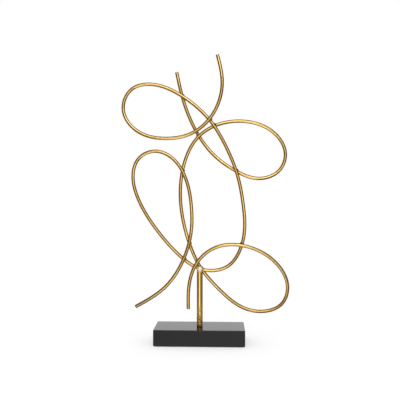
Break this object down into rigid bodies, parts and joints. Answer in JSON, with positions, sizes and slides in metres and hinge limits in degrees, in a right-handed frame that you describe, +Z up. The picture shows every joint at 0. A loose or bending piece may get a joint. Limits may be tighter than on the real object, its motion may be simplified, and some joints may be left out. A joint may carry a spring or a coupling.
{
  "type": "loop sculpture",
  "caption": "Abstract table ornament of slim gold rods bent into open loops that cross and are welded together, on a round post and a glossy black block.",
  "frame": {"origin": "middle of the felt underside, on the axis of the post", "axes": "+Z up, +X to the right as the picture sees it, -Y towards the viewer"},
  "size_m": [0.283, 0.07, 0.4843],
  "materials": {
    "gold_rod": "gold-leaf lacquer, brushed on by hand",
    "gold_post": "gold-leaf lacquer, brushed on by hand",
    "gold_weld": "ground smooth and gold lacquered",
    "black_lacquer": "gloss black lacquer",
    "felt": "black felt",
    "zinc_steel": "zinc plated"
  },
  "bodies": {
    "root": {"felt_sheet": "felt", "base_block": "black_lacquer", "base_bolt": "zinc_steel", "bolt_washer": "zinc_steel", "post": "gold_post", "left_loop_rod": "gold_rod", "right_loop_rod": "gold_rod", "post_weld_front": "gold_weld", "post_weld_back": "gold_weld", "crossing_weld_1": "gold_weld", "crossing_weld_2": "gold_weld", "crossing_weld_3": "gold_weld", "crossing_weld_4": "gold_weld", "crossing_weld_5": "gold_weld", "crossing_weld_6": "gold_weld", "crossing_weld_7": "gold_weld", "crossing_weld_8": "gold_weld", "crossing_weld_9": "gold_weld", "crossing_weld_10": "gold_weld", "crossing_weld_11": "gold_weld"}
  },
  "joints": []
}
